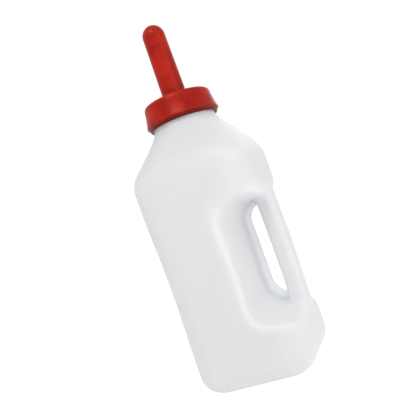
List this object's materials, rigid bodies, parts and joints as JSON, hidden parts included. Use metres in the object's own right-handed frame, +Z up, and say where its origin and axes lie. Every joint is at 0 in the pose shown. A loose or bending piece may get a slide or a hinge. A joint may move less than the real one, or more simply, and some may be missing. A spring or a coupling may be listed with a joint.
{
  "type": "calf feeding bottle",
  "caption": "Calf feeding bottle: a square-sided translucent bottle with a hollow side handle and a red push-on rubber nipple.",
  "frame": {"origin": "centre of the base, where the neck's axis meets the surface the bottle stands on", "axes": "+Z up along the neck to the teat's tip, +X towards the handle, +Y across the bottle"},
  "size_m": [0.1075, 0.112, 0.3282],
  "materials": {
    "natural_plastic": "satin natural polyethylene, milky and slightly see-through",
    "red_rubber": "satin red natural rubber",
    "ball_steel": "plain stainless steel"
  },
  "bodies": {
    "bottle": {"bottle": "natural_plastic"},
    "nipple": {"nipple": "red_rubber"},
    "vent_ball": {"vent_ball": "ball_steel"}
  },
  "joints": [
    {"name": "nipple_pull", "type": "slide", "parent": "bottle", "child": "nipple", "axis": [0, 0, 1], "range_m": [0, 0.06], "deforming": ["nipple"]},
    {"name": "vent_lift", "type": "slide", "parent": "nipple", "child": "vent_ball", "axis": [0, 0, 1], "range_m": [0, 0.0019]}
  ]
}
